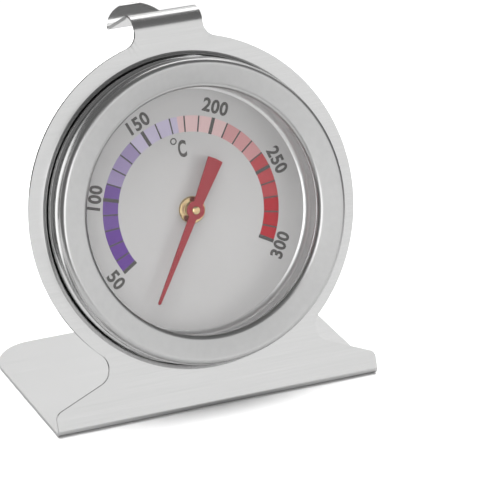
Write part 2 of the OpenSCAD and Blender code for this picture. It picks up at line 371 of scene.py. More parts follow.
def new_group(name, defaults, outputs):
    """A shader group with its sockets: Vector, Colour, and numbers under any other name."""
    group = bpy.data.node_groups.new(name, "ShaderNodeTree")
    kinds = {"Vector": "NodeSocketVector", "Colour": "NodeSocketColor"}
    for label, value in defaults.items():
        kind = kinds.get(label, "NodeSocketFloat")
        socket = group.interface.new_socket(label, in_out="INPUT", socket_type=kind)
        if value is not None:
            socket.default_value = value
    for label in outputs:
        kind = kinds.get(label, "NodeSocketFloat")
        group.interface.new_socket(label, in_out="OUTPUT", socket_type=kind)
    into = group.nodes.new("NodeGroupInput")
    return group, into.outputs, group.nodes.new("NodeGroupOutput")


def brushed_group():
    """Straight fine lines along x, with a slow cloudiness, as on rolled sheet."""
    group, into, out = new_group(
        "Brushed sheet",
        {"Vector": None, "Roughness": 0.3, "Line strength": 0.1, "Colour": (0.7, 0.7, 0.7, 1)},
        ("Roughness", "Colour", "Height"),
    )
    fine = noise(group, stretched(group, into["Vector"], (60, 5200, 5200)), 1.0, 2.0)
    broad = noise(group, stretched(group, into["Vector"], (25, 900, 900)), 1.0)
    both = blend(group, fine, 0.6, broad)
    lines = wander(group, both, into["Line strength"])
    clouds = wander(group, noise(group, into["Vector"], 55.0), 0.12)
    values = {
        "Roughness": total(group, into["Roughness"], lines, clouds),
        "Colour": toned(group, into["Colour"], both, 0.93),
        "Height": both,
    }
    give(group, out, values)
    return group


def turned_group():
    """Fine lines round the dial's axis, as spinning and polishing leave them."""
    group, into, out = new_group(
        "Spun lines",
        {"Vector": None, "Roughness": 0.2, "Line strength": 0.1, "Lines per metre": 6000.0},
        ("Roughness", "Height"),
    )
    x, y, z = add_node(group, "SeparateXYZ", {0: into["Vector"]}).outputs
    squares = [math_node(group, "POWER", side, 2.0) for side in (x, y)]
    radius = math_node(group, "SQRT", total(group, *squares))
    bend = math_node(group, "ABSOLUTE", math_node(group, "ARCTAN2", y, x))
    steps = {
        0: math_node(group, "MULTIPLY", radius, into["Lines per metre"]),
        1: math_node(group, "MULTIPLY", bend, ROUND_STRETCH),
        2: math_node(group, "MULTIPLY", z, into["Lines per metre"]),
    }
    lines = noise(group, add_node(group, "CombineXYZ", steps).outputs[0], 1.0, 2.0)
    clouds = noise(group, into["Vector"], 160.0, 2.0)
    drift = [wander(group, value, into["Line strength"]) for value in (lines, clouds)]
    give(group, out, {"Roughness": total(group, into["Roughness"], *drift), "Height": lines})
    return group


def speck_group():
    """Fine mottling of paint, ink and cast grain, which darkens a colour in specks."""
    group, into, out = new_group(
        "Fine mottle",
        {"Vector": None, "Colour": (0.5, 0.5, 0.5, 1), "Scale": 3000.0, "Amount": 0.1},
        ("Colour", "Height"),
    )
    grain = noise(group, into["Vector"], into["Scale"])
    both = blend(group, grain, 0.65, noise(group, into["Vector"], 120.0))
    darkest = math_node(group, "SUBTRACT", 1.0, into["Amount"])
    give(group, out, {"Colour": toned(group, into["Colour"], both, darkest), "Height": grain})
    return group


GROUPS = {}


def group_outputs(tree, maker, values):
    """Places a shader group, which is made once, and returns its outputs."""
    if maker not in GROUPS:
        GROUPS[maker] = maker()
    return add_node(tree, "Group", values, node_tree=GROUPS[maker]).outputs


# --- finishes ---------------------------------------------------------------


def start_finish(name):
    made = bpy.data.materials.new(name)
    made.use_nodes = True
    tree = made.node_tree
    where = add_node(tree, "TexCoord").outputs["Object"]
    return made, tree, tree.nodes["Principled BSDF"], where


def from_dial(tree, vector):
    """Object coordinates moved to the dial's centre and laid flat with the dial."""
    flat = (math.pi / 2 - LEAN, 0, 0)
    values = {"Vector": vector, "Location": TURN["pos_m"], "Rotation": flat}
    return add_node(tree, "Mapping", values, vector_type="TEXTURE").outputs["Vector"]


def relief(tree, shader, height, strength):
    values = {"Height": height, "Strength": strength, "Distance": RELIEF_DEPTH}
    give(tree, shader, {"Normal": add_node(tree, "Bump", values).outputs["Normal"]})


def mottled(tree, where, tint, scale, amount):
    values = {"Vector": where, "Colour": tint, "Scale": scale, "Amount": amount}
    return group_outputs(tree, speck_group, values)


def sheet_metal(name, tint, rough, lines):
    made, tree, shader, where = start_finish(name)
    values = {
        "Vector": from_dial(tree, where),
        "Roughness": rough,
        "Line strength": lines,
        "Colour": (*tint, 1),
    }
    brushed = group_outputs(tree, brushed_group, values)
    values = {"Base Color": brushed["Colour"], "Roughness": brushed["Roughness"], "Metallic": 1.0}
    give(tree, shader, values)
    relief(tree, shader, brushed["Height"], 0.05)
    return made


def spun_metal(name, tint, rough, lines, bump, per_metre=6000.0):
    made, tree, shader, where = start_finish(name)
    values = {
        "Vector": from_dial(tree, where),
        "Roughness": rough,
        "Line strength": lines,
        "Lines per metre": per_metre,
    }
    spun = group_outputs(tree, turned_group, values)
    mottle = mottled(tree, where, (*tint, 1), 900.0, 0.06)
    values = {"Base Color": mottle["Colour"], "Roughness": spun["Roughness"], "Metallic": 1.0}
    give(tree, shader, values)
    relief(tree, shader, spun["Height"], bump)
    return made


def coated(name, tint, rough, amount, scale, metal=0.0, bump=0.04):
    made, tree, shader, where = start_finish(name)
    mottle = mottled(tree, where, (*tint, 1), scale, amount)
    sheen = spread(tree, mottle["Height"], *NOISE_SPAN, rough - 0.06, rough + 0.06)
    give(tree, shader, {"Base Color": mottle["Colour"], "Roughness": sheen, "Metallic": metal})
    relief(tree, shader, mottle["Height"], bump)
    return made


def clear_glass(name):
    made, tree, shader, where = start_finish(name)
    values = {
        "Base Color": (0.985, 0.985, 0.985, 1),
        "Roughness": spread(tree, noise(tree, where, 90.0), 0.35, 0.75, 0.0, 0.03),
        "Transmission Weight": 1.0,
        "IOR": 1.33,
    }
    give(tree, shader, values)
    open_way = add_node(tree, "BsdfTransparent", {"Color": (0.95, 0.95, 0.95, 1)})
    by_ray(tree, "Is Shadow Ray", shader, open_way, tree.nodes["Material Output"])
    return made


def zone_ink(name):
    """The scale band's ink, whose colour is held by each zone's own faces."""
    made, tree, shader, where = start_finish(name)
    zone = add_node(tree, "Attribute", attribute_name="zone_colour")
    mottle = mottled(tree, where, zone.outputs["Color"], 5200.0, 0.16)
    values = {"Base Color": mottle["Colour"], "Roughness": 0.5, "Specular IOR Level": 0.2}
    give(tree, shader, values)
    relief(tree, shader, mottle["Height"], 0.05)
    return made


# how each finish is made, which of the panel's colours it takes, and its values
LOOKS = {
    "satin sheet": (sheet_metal, "sheet_colour", {"rough": 0.23, "lines": 0.10}),
    "satin ring": (spun_metal, "ring_colour", {"rough": 0.30, "lines": 0.02, "bump": 0.006}),
    "polished band": (spun_metal, "case_colour", {"rough": 0.08, "lines": 0.02, "bump": 0.004}),
    "drawn cup": (spun_metal, "case_colour", {"rough": 0.26, "lines": 0.14, "bump": 0.05}),
    "rolled strip": (sheet_metal, "sheet_colour", {"rough": 0.24, "lines": 0.20}),
    "plated steel": (coated, "case_colour", {"rough": 0.22, "amount": 0.08, "scale": 1800.0, "metal": 1.0}),
    "silvered dial": (coated, "dial_colour", {"rough": 0.46, "amount": 0.07, "scale": 5200.0, "bump": 0.05}),
    "dial wall": (spun_metal, "wall_colour", {"rough": 0.34, "lines": 0.04, "bump": 0.01}),
    "dark ink": (coated, "ink_colour", {"rough": 0.5, "amount": 0.18, "scale": 6000.0}),
    "zone ink": (zone_ink, None, {}),
    "pointer paint": (coated, "pointer_colour", {"rough": 0.42, "amount": 0.14, "scale": 4200.0, "bump": 0.05}),
    "turned brass": (spun_metal, "brass_colour", {"rough": 0.20, "lines": 0.12, "bump": 0.05, "per_metre": 9000.0}),
    "bimetal strip": (sheet_metal, "strip_colour", {"rough": 0.34, "lines": 0.22}),
    "dark seal": (coated, "seal_colour", {"rough": 0.6, "amount": 0.25, "scale": 2600.0, "bump": 0.12}),
    "clear glass": (clear_glass, None, {}),
}
FINISHES = {}


def finish(name):
    """Each finish is made once, from the colours in the panel."""
    if name not in FINISHES:
        maker, tint, values = LOOKS[name]
        if tint:
            values = {"tint": getattr(bpy.context.scene.thermometer_finish, tint), **values}
        FINISHES[name] = maker(name, **values)
    return FINISHES[name]


# --- sizes and colours ------------------------------------------------------


def number(name, text, default, min=0.0, **more):
    return bpy.props.FloatProperty(name=name, description=text, default=default, min=min, **more)


def length(name, text, default):
    return number(name, text, default * MM, unit="LENGTH", precision=5)


def angle(name, text, default):
    return bpy.props.FloatProperty(
        name=name, description=text, default=math.radians(default), subtype="ANGLE", unit="ROTATION"
    )


def colour(name, text, default):
    return bpy.props.FloatVectorProperty(
        name=name, description=text, default=default, min=0.0, max=1.0, size=3, subtype="COLOR"
    )


def mm(value):
    return value / MM


class StandSizes(bpy.types.PropertyGroup):
    """Sizes of the bent sheet stand"""

    foot_width: length("Foot width", "Width of the foot along its front bend", 60.0)
    foot_depth: length("Foot depth", "Depth of the foot from front to rear", 36.5)
    foot_corner: length("Foot corner", "Radius of the foot's rear corners", 8.2)
    bend_radius: length("Bend radius", "Outer radius of the foot's bend", 1.0)
    sheet: length("Sheet", "Thickness of the sheet", 0.6)
    ring_radius: length("Ring radius", "Outer radius of the ring plate", 30.0)
    ring_height: length("Ring height", "Height of the ring plate's centre along the plate", 34.8)
    case_height: length("Case height", "Height of the case's centre along the plate", 34.5)
    hole_radius: length("Hole radius", "Radius of the hole that holds the case", 26.6)
    collar: length("Collar", "Outer radius of the drawn collar's bend", 1.0)
    collar_depth: length("Collar depth", "How far the collar reaches behind the front face", 2.2)
    side_height: length("Side height", "Height of the plate at its outer ends", 4.22)
    slope: angle("Slope", "Slope of the plate's upper edges over the foot", 22.05)
    end_rounding: length("End rounding", "Rounding of the plate's outer ends", 1.5)
    notch: length("Notch", "Radius where the ring meets the sloping edge", 3.0)
    neck_width: length("Neck width", "Width of the neck and hook", 12.6)
    neck_fillet: length("Neck fillet", "Radius where the neck meets the ring", 2.6)
    hook_height: length("Hook height", "Where the hook's roll starts, along the plate", 66.161)
    roll_radius: length("Roll radius", "Outer radius of the hook's roll", 3.0)
    roll_angle: angle("Roll angle", "How far the hook rolls over", 101.5)
    slope_length: length("Hook slope", "Straight length behind the roll", 9.0)
    valley_radius: length("Valley radius", "Radius of the hook's valley", 4.0)
    valley_angle: angle("Valley angle", "Turn of the hook's valley", 63.0)
    tip_length: length("Tip length", "Length of the rising tip", 2.3)
    edge: length("Edge rounding", "Rounding of the sheet's cut edges", 0.07)


class CaseSizes(bpy.types.PropertyGroup):
    """Sizes of the case, its bezel, glass and seal"""

    case_radius: length("Case radius", "Outer radius of the bezel's skirt", 26.55)
    cup_depth: length("Cup depth", "Depth of the cup behind the stand's face", 11.6)
    cup_radius: length("Cup radius", "Outer radius of the cup's wall", 23.15)
    window_radius: length("Window radius", "Inner radius of the bezel's front ring", 21.24)
    glass_back: length("Glass back", "Height of the glass's rear face", 1.95)
    glass_front: length("Glass front", "Height of the glass's front face", 3.6)
    vent_radius: length("Vent radius", "Radius of the vents in the cup's back", 1.5)
    vent_circle: length("Vent circle", "Radius of the circle that the vents lie on", 14.0)
    vents: bpy.props.IntProperty(name="Vents", description="Number of vents", default=8, min=3)


class DialSizes(bpy.types.PropertyGroup):
    """Sizes of the dial and what is printed on it"""

    face: length("Face depth", "Depth of the dial's face behind the stand's face", 1.8)
    plate: length("Plate", "Thickness of the dial plate", 0.5)
    band_inner: length("Band inner", "Inner radius of the scale band", 13.3)
    band_outer: length("Band outer", "Outer radius of the scale band", 16.05)
    first: angle("First mark", "Angle of the lowest number, from the right", 212.9)
    step: angle("Step", "Turn of the scale for fifty degrees", 48.616)
    fine_tick: length("Fine tick", "Width of a fine tick", 0.26)
    main_tick: length("Main tick", "Width of a main tick", 0.62)
    number_height: length("Number height", "Height of the numbers", 2.42)
    number_squeeze: number("Number squeeze", "Width of the numbers, as a share of the plain letter's", 0.94, min=0.3)
    ink: length("Ink", "Thickness of the printed ink", 0.015)


class PointerSizes(bpy.types.PropertyGroup):
    """Sizes of the pointer and the turned parts at its centre"""

    needle_angle: angle("Needle angle", "Angle of the needle from the right at rest", 238.8)
    needle: length("Needle", "Length of the needle from the axis", 17.3)
    tail: length("Tail", "Length of the tail from the axis", 9.4)
    tail_half: length("Tail half width", "Half of the tail's width at its end", 1.42)
    hub_half: length("Middle half width", "Half of the blade's width at the axis", 0.76)
    tip_half: length("Tip half width", "Half of the needle's width near its tip", 0.26)
    hub_radius: length("Eye radius", "Radius of the eye round the spindle", 1.6)
    thick: length("Thickness", "Thickness of the pointer", 0.3)
    spindle_radius: length("Spindle radius", "Radius of the spindle", 0.8)


class Finishes(bpy.types.PropertyGroup):
    """Colours of the finishes"""

    sheet_colour: colour("Sheet", "Colour of the satin sheet", (0.69, 0.69, 0.688))
    ring_colour: colour("Front ring", "Colour of the bezel's satin front ring", (0.59, 0.59, 0.588))
    case_colour: colour("Case", "Colour of the case's steel", (0.72, 0.72, 0.72))
    dial_colour: colour("Dial", "Colour of the dial's face", (0.535, 0.53, 0.528))
    wall_colour: colour("Dial wall", "Colour of the ring round the dial", (0.86, 0.86, 0.86))
    ink_colour: colour("Ink", "Colour of the ticks and numbers", (0.075, 0.07, 0.068))
    pointer_colour: colour("Pointer", "Colour of the pointer", (0.31, 0.02, 0.03))
    brass_colour: colour("Brass", "Colour of the brass parts", (0.76, 0.57, 0.31))
    strip_colour: colour("Bimetal", "Colour of the bimetal strip", (0.60, 0.48, 0.38))
    seal_colour: colour("Seal", "Colour of the seal under the lip", (0.20, 0.20, 0.202))
    cold_colour: colour("Cold zone", "Colour of the scale's lowest zone", (0.133, 0.05, 0.30))
    hot_colour: colour("Hot zone", "Colour of the scale's highest zone", (0.46, 0.012, 0.024))


class StageSizes(bpy.types.PropertyGroup):
    """Where the camera stands and how bright the lights are"""

    azimuth: angle("Azimuth", "Camera's turn round the object", -24.047)
    elevation: angle("Elevation", "Camera's height above the horizon", 24.694)
    distance: length("Distance", "Camera's distance", 614.52)
    lens: number("Lens", "Camera's focal length in millimetres", 255.97, min=1.0)
    aim: bpy.props.FloatVectorProperty(
        name="Aim",
        description="Point that the camera looks at",
        default=(0.009332, -0.009151, 0.026342),
        size=3,
        subtype="XYZ",
        unit="LENGTH",
    )
    floor_radius: length("Floor radius", "Radius of the pale floor", 170.0)
    key: number("Key", "Brightness of the front softbox", 0.80)
    top: number("Top", "Brightness of the overhead softbox", 2.0)
    rear: number("Rear", "Brightness of the rear softbox", 0.85)
    side: number("Side", "Brightness of the left softbox", 2.1)
    lamp: number("Lamp", "Brightness of the front lamp, which metal doesn't mirror", 6.4)
    wash: number("Wash", "Brightness of the lamp over the floor, which metal doesn't mirror", 6.2)


# --- operators --------------------------------------------------------------


class THERMO_OT_stand(bpy.types.Operator):
    """Bend the stand: ring plate, drawn collar, foot, neck and hook from one sheet"""

    bl_idname = "thermo.stand"
    bl_label = "Make the stand"

    def execute(self, context):
        s = context.scene.thermometer_stand
        bm = bmesh.new()
        # where the flat of the plate ends and the foot's bend starts
        self.bend_at = mm(s.bend_radius) / math.tan((math.pi / 2 - LEAN) / 2)
        hole = self.draw_plate(bm, s)
        self.draw_collar(bm, s, hole)
        self.bend_foot(bm, s)
        self.bend_hook(bm, s)
        bmesh.ops.remove_doubles(bm, verts=bm.verts, dist=NEAR)
        front = (f for f in bm.faces if abs(f.calc_center_median().z) < NEAR)
        turn_to(bm, max(front, key=lambda f: f.calc_area()), 1)
        stand = shown(bm, "stand_sheet", ["satin sheet"], "satin_steel", ["stand"], sharp=60.0, place=plate_space())
        thicken(stand, mm(s.sheet))
        soften(stand, mm(s.edge), angle=55.0)
        return {"FINISHED"}

    def draw_plate(self, bm, s):
        half, neck, top = mm(s.foot_width) / 2, mm(s.neck_width) / 2, mm(s.hook_height)
        ring, up = mm(s.ring_radius), mm(s.ring_height)
        notch, fillet, end = mm(s.notch), mm(s.neck_fillet), mm(s.end_rounding)
        side, tilt, slope = mm(s.side_height), math.tan(s.slope), math.degrees(s.slope)
        # the notch's centre lies notch above the sloping edge and notch outside the ring
        k = side + tilt * half + notch / math.cos(s.slope)
        a, b = 1 + tilt * tilt, 2 * tilt * (up - k)
        c = (up - k) ** 2 - (ring + notch) ** 2
        nx = (-b + math.sqrt(b * b - 4 * a * c)) / (2 * a)
        ny = k - tilt * nx
        # the fillet's centre lies fillet beside the neck and fillet outside the ring
        fx = neck + fillet
        fy = up + math.sqrt((ring + fillet) ** 2 - fx * fx)
        ey = side + tilt * end - end / math.cos(s.slope)
        to_ring = math.degrees(math.atan2(up - ny, -nx))
        ring_from = math.degrees(math.atan2(ny - up, nx))
        ring_to = math.degrees(math.atan2(fy - up, fx))
        line = Line(bm, half, self.bend_at).to((half, ey))
        line.turn(half - end, ey, 90 - slope, 8)
        line.arc(nx, ny, notch, 270 - slope, to_ring - (270 - slope), 14)
        line.turn(0, up, ring_to - ring_from, 60)
        line.turn(fx, fy, -ring_to, 12)
        line.to((neck, top))
        bmesh.ops.mirror(bm, geom=bm.verts[:] + bm.edges[:], axis="X", merge_dist=-1.0)
        for y in (self.bend_at, top):
            ends = [v for v in bm.verts if abs(v.co.y - y) < NEAR]
            bmesh.ops.contextual_create(bm, geom=ends)
        rim = mm(s.hole_radius) + mm(s.collar)
        hole = circle(bm, rim, 144, (0, mm(s.case_height), 0))[1]
        fill(bm)
        return hole

    def draw_collar(self, bm, s, row):
        hole, bend = mm(s.hole_radius), mm(s.collar)
        rings = [(hole + bend, 0)]
        rings += [(hole + bend * (1 - math.sin(t)), -bend * (1 - math.cos(t))) for t in quarter(8)]
        draw_through(bm, row, [*rings, (hole, -mm(s.collar_depth))], (0, mm(s.case_height), 0))

    def bend_foot(self, bm, s):
        centre = (0, self.bend_at, -mm(s.bend_radius))
        row = spin_edges(bm, flat_edges(bm, self.bend_at), centre, 90 + math.degrees(LEAN), 18)
        row = push_edges(bm, row, REARWARD * (mm(s.foot_depth) - self.bend_at))
        bmesh.ops.bevel(
            bm,
            geom=list({v for e in row for v in e.verts}),
            offset=mm(s.foot_corner),
            offset_type="OFFSET",
            segments=16,
            profile=0.5,
            affect="VERTICES",
            material=-1,
        )

    def bend_hook(self, bm, s):
        top, roll = mm(s.hook_height), mm(s.roll_radius)
        row = spin_edges(bm, flat_edges(bm, top), (0, top, -roll), -math.degrees(s.roll_angle), 24)
        heading = Matrix.Rotation(-s.roll_angle, 3, "X") @ Vector((0, 1, 0))
        row = push_edges(bm, row, heading * mm(s.slope_length))
        low = row[0].verts[0].co.copy()
        left = Matrix.Rotation(math.pi / 2, 3, "X") @ heading
        centre = Vector((0, low.y, low.z)) + left * mm(s.valley_radius)
        row = spin_edges(bm, row, centre, math.degrees(s.valley_angle), 18)
        rise = Matrix.Rotation(s.valley_angle, 3, "X") @ heading
        gone = 0.0
        for share in TIP_SHARES:
            row = push_edges(bm, row, rise * (share - gone) * mm(s.tip_length))
            gone = share
        # the end is round when it is looked down on
        half = mm(s.neck_width) / 2
        end = max(v.co.dot(REARWARD) for e in row for v in e.verts)
        start = max(end - half, low.dot(REARWARD) - 0.5)
        for v in bm.verts:
            back = v.co.dot(REARWARD)
            if back > start and v.co.y > top * 0.8:
                past = back - (end - half)
                v.co.x *= math.sqrt(max(half * half - past * past, 0.0)) / half


class THERMO_OT_cup(bpy.types.Operator):
    """Draw the cup that closes the case at the back, with its vents"""

    bl_idname = "thermo.cup"
    bl_label = "Make the cup"

    def execute(self, context):
        c, d = context.scene.thermometer_case, context.scene.thermometer_dial
        radius, back = mm(c.cup_radius), -mm(c.cup_depth)
        sheet, rounding, foot, under_dial = 0.5, 1.2, 0.4, 0.6
        rim = -(mm(d.face) + mm(d.plate) + under_dial)
        flange = mm(c.case_radius) - 0.5
        bm = bmesh.new()
        row = circle(bm, radius - rounding, 160, (0, 0, back))[1]
        first, ring = circle(bm, mm(c.vent_radius), 28, (mm(c.vent_circle), 0, back))
        turn = 2 * math.pi / c.vents
        about_z(bm, first, turn / 2)
        for i in range(1, c.vents):
            copy = bmesh.ops.duplicate(bm, geom=first + ring)
            about_z(bm, verts_of(copy), turn * i)
        fill(bm)
        rings = [(radius - rounding, back)]
        for t in quarter(8):
            rings.append((radius - rounding * (1 - math.sin(t)), back + rounding * (1 - math.cos(t))))
        rings.append((radius, rim - foot))
        for t in quarter(4):
            rings.append((radius + foot * (1 - math.cos(t)), rim - foot * (1 - math.sin(t))))
        draw_through(bm, row, [*rings, (flange, rim)])
        turn_to(bm, min(bm.faces, key=lambda f: f.calc_center_median().z), -1)
        cup = shown(bm, "rear_cup", ["drawn cup"], "case_steel", ["case_cup"], sharp=60.0)
        thicken(cup, sheet)
        soften(cup, 0.06, angle=55.0)
        return {"FINISHED"}


class THERMO_OT_bezel(bpy.types.Operator):
    """Turn the bezel: skirt, polished bulged side, rounded shoulder, satin front ring and hemmed lip"""

    bl_idname = "thermo.bezel"
    bl_label = "Make the bezel"

    def execute(self, context):
        c = context.scene.thermometer_case
        case, window = mm(c.case_radius), mm(c.window_radius)

        def draw(bm):
            # the skirt's outside, rolled over the cup's flange
            skirt_back, hem = -3.35, 0.3
            line = Line(bm, case - 1.3, skirt_back).to((case - hem, skirt_back))
            line.turn(case - hem, skirt_back + hem, 90, 6)
            # the groove over the stand, the bulged side and the rounded shoulder
            line.to((case, 0.55), (case - 0.12, 0.85), (case - 0.4, 1.05))
            bulge, widest, shoulder = 6.2, 3.0, 0.95
            line.arc(case - 0.15 - bulge, widest, bulge, -16, 31, 20)
            line.arc(case - 1.3, 4.55, shoulder, 13, 87, 16)
            # the lip, from the window's edge out, rounded and back along its underside
            lip = [(0.8, 4.96), (0.35, 4.78), (0.08, 4.5), (0, 4.2), (0.1, 3.8), (0.3, 3.75), (0.8, 3.75), (0.95, 4.4)]
            line.to(*((window + out, height) for out, height in lip))
            # the sheet's inside, from the case's edge in: front ring, side and skirt
            inside = [(1.5, 5.02), (1.05, 4.9), (0.82, 4.5), (0.6, 3.6), (0.6, 2.2), (0.8, 1.3), (0.45, 0.7)]
            inside += [(0.45, -2.9), (1.3, -2.9)]
            return line.to(*((case - deep, height) for deep, height in inside))

        bm = turned(draw, 192)
        # what looks forward is satin, short of the shoulder's outer edge
        forward, satin_edge = 0.2, case - 0.3
        for face in bm.faces:
            if face.normal.z > forward and face.calc_center_median().xy.length < satin_edge:
                face.material_index = 1
        bezel = shown(bm, "bezel_ring", ["polished band", "satin ring"], "polished_steel", ["bezel"], sharp=40.0)
        soften(bezel, 0.05)
        return {"FINISHED"}


class THERMO_OT_window(bpy.types.Operator):
    """Set the glass and the seal under the bezel's lip"""

    bl_idname = "thermo.window"
    bl_label = "Make the window"

    def execute(self, context):
        c = context.scene.thermometer_case
        case, inner = mm(c.case_radius), mm(c.window_radius) + 0.15
        back, front = mm(c.glass_back), mm(c.glass_front)
        rounding, gap = 0.15, 1.0
        flat = case - gap - rounding

        def glass(bm):
            line = Line(bm, 0, back).to((flat, back))
            line.turn(flat, back + rounding, 90, 4)
            line.to((flat + rounding, front - rounding))
            return line.turn(flat, front - rounding, 90, 4).to((0, front))

        shown(turned(glass, 160, close=False), "glass", ["clear glass"], "window_glass", ["glass_lens"])
        outer, low, high = case - 1.6, front, front + 0.15
        seal = straight((inner, low), (outer, low), (outer, high), (inner, high))
        turned_piece(seal, "seal_ring", "dark seal", "seal", "gasket_ring")
        return {"FINISHED"}


class THERMO_OT_dial(bpy.types.Operator):
    """Make the dial plate and the polished wall round it"""

    bl_idname = "thermo.dial"
    bl_label = "Make the dial"

    def execute(self, context):
        c, d = context.scene.thermometer_case, context.scene.thermometer_dial
        case, inner = mm(c.case_radius), mm(c.window_radius) + 0.36
        face, hole, edge = -mm(d.face), 1.55, case - 0.6
        back = face - mm(d.plate)
        disc = straight((hole, back), (edge, back), (edge, face), (hole, face))
        turned_piece(disc, "dial_disc", "silvered dial", "dial_face", "dial_plate", rounding=0.04)

        def wall(bm):
            sheet, under, over, bend, foot = 0.4, face + 0.01, 1.95, 0.3, 1.2
            low_edge, top_edge, foot_top = case - 0.7, case - 1.1, face + foot + 0.05
            line = Line(bm, inner - 1.0, under)
            line.to((inner + 0.25, under), (low_edge, under), (low_edge, face + sheet))
            line.to((inner + sheet, face + sheet), (inner + sheet, over - sheet))
            line.to((top_edge, over - sheet), (top_edge, over), (inner + bend, over))
            line.turn(inner + bend, over - bend, 90, 6)
            # the wall runs into the dial in a small hollow
            return line.to((inner, foot_top)).turn(inner - foot, foot_top, -80, 12)

        turned_piece(wall, "dial_wall", "dial wall", "polished_steel", "spacer_ring", close=False, sharp=40.0)
        return {"FINISHED"}


# how deep the band's ink goes, and between what heights the ticks' lies, in thicknesses of ink
BAND_DEPTH, TICK_SPAN = 0.98, (0.4, 2.0)
# how far the main ticks reach past the band, in millimetres
MAIN_TICK_OVER = 0.06
# how much the letters are thickened and set apart, as shares of their height
LETTER_WEIGHT, LETTER_SPACING = 0.034, 1.08


